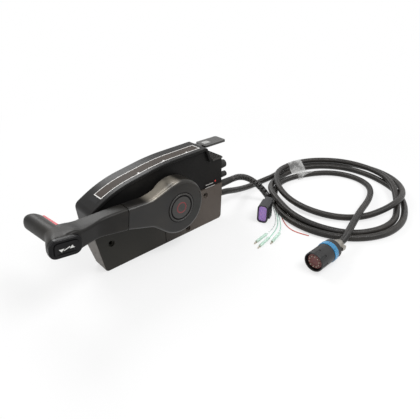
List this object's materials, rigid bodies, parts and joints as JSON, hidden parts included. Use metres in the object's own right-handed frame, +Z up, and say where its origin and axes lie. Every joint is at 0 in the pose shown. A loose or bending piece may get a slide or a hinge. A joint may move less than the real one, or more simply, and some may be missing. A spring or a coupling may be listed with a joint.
{
  "type": "boat throttle control lever",
  "caption": "Side-mount boat throttle and shift control: flat case, swinging lever with cross grip and trim rocker, fast idle flap, coiled cable with round multi-pin plug.",
  "frame": {"origin": "on the flat mounting face at the back of the case, on the lever's pivot axis", "axes": "+X from the pivot towards the cable end, +Y out of the back into the wall it is mounted on, +Z up"},
  "size_m": [0.8115, 0.3497, 0.1613],
  "materials": {
    "black_gloss": "gloss",
    "cover_grey": "satin",
    "casting_grey": "semi-gloss",
    "grip_grey": "satin",
    "cap_black": "satin",
    "strip_brown": "textured",
    "switch_black": "gloss",
    "release_red": "gloss",
    "marker_red": "gloss",
    "steel": "brushed",
    "bush_bronze": "plain",
    "gear_nylon": "plain",
    "boot_rubber": "matt",
    "cord_black": "ribbed sleeve",
    "tape_clear": "clear",
    "plug_black": "satin",
    "ring_blue": "gloss",
    "insert_red": "matt",
    "clamp_metal": "cast",
    "seal_purple": "matt",
    "wire_white": "plain",
    "wire_mint": "plain",
    "wire_red": "plain",
    "terminal_metal": "plated"
  },
  "bodies": {
    "housing": {"rear_housing": "cover_grey", "front_cover": "cover_grey", "top_hood": "black_gloss", "scale_strip": "strip_brown", "end_cap": "cap_black", "case_screws": "steel", "marker_dot": "marker_red", "front_bush": "bush_bronze", "rear_bush": "bush_bronze", "friction_screw": "steel", "friction_shoe": "cap_black", "neutral_switch": "switch_black", "cable_anchor": "gear_nylon", "detent_spring": "steel", "throttle_axle": "steel", "shift_axle": "steel", "lead_boot": "boot_rubber", "branch_boot": "boot_rubber", "low_spare_boot": "boot_rubber", "spare_boot": "boot_rubber", "fast_idle_pin": "steel", "harness_coil": "cord_black", "coil_tie": "tape_clear", "lead_in": "cord_black", "lead_out": "cord_black", "branch_sleeve": "cord_black", "branch_tail": "cord_black", "wire_white": "wire_white", "wire_mint": "wire_mint", "wire_pale": "wire_mint", "wire_red": "wire_red", "wire_terminals": "terminal_metal", "plug_shell": "plug_black", "plug_insert": "insert_red", "plug_nut": "plug_black", "plug_clamp": "clamp_metal", "branch_socket": "switch_black", "branch_seal": "seal_purple"},
    "lever": {"main_shaft": "steel", "drive_gear": "steel", "detent_disc": "steel", "lever_casting": "casting_grey", "handle_shell": "grip_grey", "hub_bolt": "steel", "hub_washer": "steel", "hub_cap": "cap_black", "trim_bezel": "switch_black", "rocker_pin": "steel"},
    "release": {"lock_trigger": "release_red", "lock_rod": "steel"},
    "rocker": {"trim_rocker": "switch_black"},
    "throttle": {"throttle_gear": "gear_nylon", "throttle_arm": "steel", "throttle_pin": "steel"},
    "shift": {"shift_gear": "gear_nylon", "shift_arm": "steel", "shift_pin": "steel"},
    "roller": {"detent_roller": "steel"},
    "fast_idle": {"fast_idle_lever": "switch_black"},
    "coupling_ring": {"plug_ring": "ring_blue"}
  },
  "joints": [
    {"name": "lever_swing", "type": "hinge", "parent": "housing", "child": "lever", "pos_m": [0, -0.05, 0], "axis": [0, 1, 0], "range_deg": [0, 150]},
    {"name": "lock_release", "type": "slide", "parent": "lever", "child": "release", "axis": [-0.9903, 0, 0.1392], "range_m": [0, 0.004], "stiffness_N_per_m": 400},
    {"name": "trim_rock", "type": "hinge", "parent": "lever", "child": "rocker", "pos_m": [-0.21093, -0.1005, 0.02964], "axis": [0.1392, 0, 0.9903], "range_deg": [-8, 8], "stiffness_Nm_per_rad": 0.2},
    {"name": "throttle_turn", "type": "hinge", "parent": "housing", "child": "throttle", "pos_m": [-0.05753, -0.026, -0.01704], "axis": [0, 1, 0], "range_deg": [-100.5, 0]},
    {"name": "shift_turn", "type": "hinge", "parent": "housing", "child": "shift", "pos_m": [0.05262, -0.026, 0.01915], "axis": [0, 1, 0], "range_deg": [-113, 0]},
    {"name": "roller_spin", "type": "hinge", "parent": "housing", "child": "roller", "pos_m": [0, -0.0115, 0.0262], "axis": [0, 1, 0], "continuous": true},
    {"name": "fast_idle_lift", "type": "hinge", "parent": "housing", "child": "fast_idle", "pos_m": [0.098, -0.0145, 0.0665], "axis": [0, -1, 0], "range_deg": [0, 60]},
    {"name": "ring_turn", "type": "hinge", "parent": "housing", "child": "coupling_ring", "pos_m": [0.154, -0.277, -0.0671], "axis": [1, 0, 0], "continuous": true}
  ],
  "couplings": [
    {"joint": "throttle_turn", "follows": "lever_swing", "ratio": -0.66667},
    {"joint": "shift_turn", "follows": "lever_swing", "ratio": -0.75}
  ]
}
